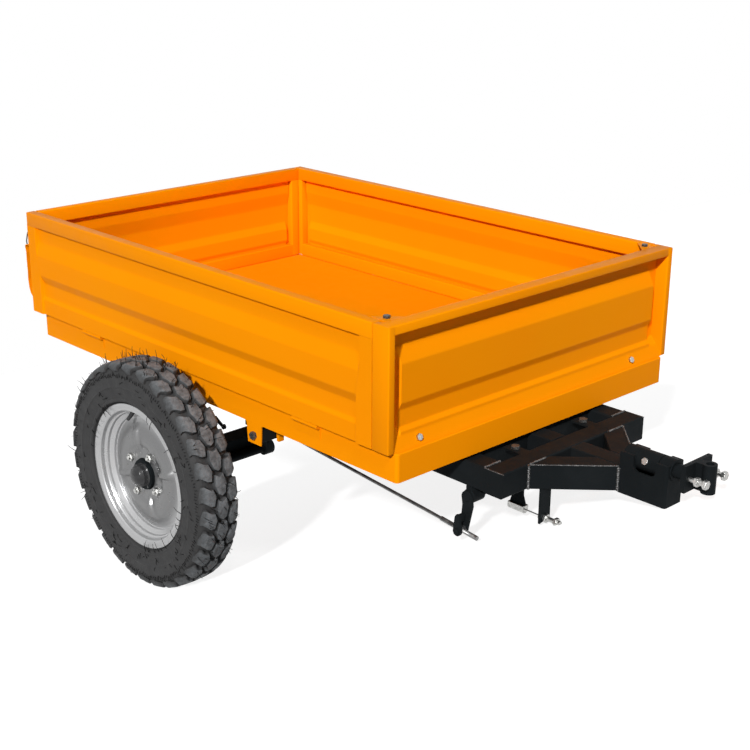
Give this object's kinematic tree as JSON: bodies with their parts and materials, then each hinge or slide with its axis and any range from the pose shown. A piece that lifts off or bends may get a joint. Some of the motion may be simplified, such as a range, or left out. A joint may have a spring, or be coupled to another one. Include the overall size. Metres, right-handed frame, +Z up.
{
  "type": "garden tractor trailer",
  "caption": "Two-wheeled box trailer with folding side boards, drop tailgate, drum-brake linkage and a swivelling pin hitch.",
  "frame": {"origin": "middle of the hitch eye bore on its own axis", "axes": "+X level and forward, the way the trailer is towed; +Y to its left; +Z up from the floor it is parked on. The trailer leans nose down about Y as it parks."},
  "size_m": [1.6276, 1.178, 0.9356],
  "materials": {
    "orange_paint": "satin powder coat",
    "black_paint": "satin black enamel",
    "zinc": "zinc plated",
    "steel_rod": "bare drawn steel",
    "rim_silver": "silver enamel",
    "tyre": "matt tread rubber"
  },
  "bodies": {
    "chassis": {"axle_beam": "black_paint", "axle_hanger_left": "black_paint", "axle_hanger_right": "black_paint", "bed_bolts": "zinc", "bed_cross_tube": "black_paint", "bed_tray": "orange_paint", "brake_cable": "steel_rod", "brake_camshaft_left": "black_paint", "brake_camshaft_right": "black_paint", "brake_cross_shaft": "black_paint", "brake_lever_left": "black_paint", "brake_lever_right": "black_paint", "brake_rod_left": "steel_rod", "brake_rod_right": "steel_rod", "brake_shaft_brackets": "black_paint", "cable_adjuster": "zinc", "cable_clamp": "zinc", "cable_stop_post": "black_paint", "chassis_rail_left": "black_paint", "chassis_rail_right": "black_paint", "drawbar_arm_left": "black_paint", "drawbar_arm_right": "black_paint", "front_board": "orange_paint", "front_crossbeam": "black_paint", "hitch_box": "black_paint", "rear_crossbeam": "black_paint", "side_hinges_left": "orange_paint", "side_hinges_right": "orange_paint", "spine_front": "black_paint", "spine_rear": "black_paint", "stub_axle_left": "black_paint", "stub_axle_right": "black_paint", "swivel_sleeve_front": "black_paint", "swivel_sleeve_rear": "black_paint", "tailgate_hinges": "orange_paint"},
    "wheel_left": {"hub_cap_left": "black_paint", "hub_left": "black_paint", "rim_left": "rim_silver", "tyre_left": "tyre"},
    "wheel_right": {"hub_cap_right": "black_paint", "hub_right": "black_paint", "rim_right": "rim_silver", "tyre_right": "tyre"},
    "side_left": {"side_board_knuckles_left": "orange_paint", "side_board_left": "orange_paint"},
    "side_right": {"side_board_knuckles_right": "orange_paint", "side_board_right": "orange_paint"},
    "rear_gate": {"tailgate": "orange_paint", "tailgate_knuckles": "orange_paint", "tailgate_latch_left": "orange_paint", "tailgate_latch_right": "orange_paint"},
    "hitch_swivel": {"hitch_eye": "black_paint", "hitch_stop_bolts": "zinc", "swivel_shaft": "black_paint", "swivel_stop_bolt": "zinc"}
  },
  "joints": [
    {"name": "wheel_left_spin", "type": "hinge", "parent": "chassis", "child": "wheel_left", "pos_m": [-1.09839, 0.53, 0.21326], "axis": [0, 1, 0], "continuous": true},
    {"name": "wheel_right_spin", "type": "hinge", "parent": "chassis", "child": "wheel_right", "pos_m": [-1.09839, -0.53, 0.21326], "axis": [0, 1, 0], "continuous": true},
    {"name": "side_board_left_drop", "type": "hinge", "parent": "chassis", "child": "side_left", "pos_m": [-0.99223, 0.438, 0.40747], "axis": [-0.9376, 0, 0.3477], "range_deg": [0, 30]},
    {"name": "side_board_right_drop", "type": "hinge", "parent": "chassis", "child": "side_right", "pos_m": [-0.99223, -0.438, 0.40747], "axis": [0.9376, 0, -0.3477], "range_deg": [0, 30]},
    {"name": "tailgate_drop", "type": "hinge", "parent": "chassis", "child": "rear_gate", "pos_m": [-1.59861, 0, 0.63023], "axis": [0, -1, 0], "range_deg": [0, 140]},
    {"name": "hitch_swivel_turn", "type": "hinge", "parent": "chassis", "child": "hitch_swivel", "pos_m": [-0.07275, 0, 0.01952], "axis": [0.9376, 0, -0.3477], "range_deg": [-25, 25]}
  ]
}
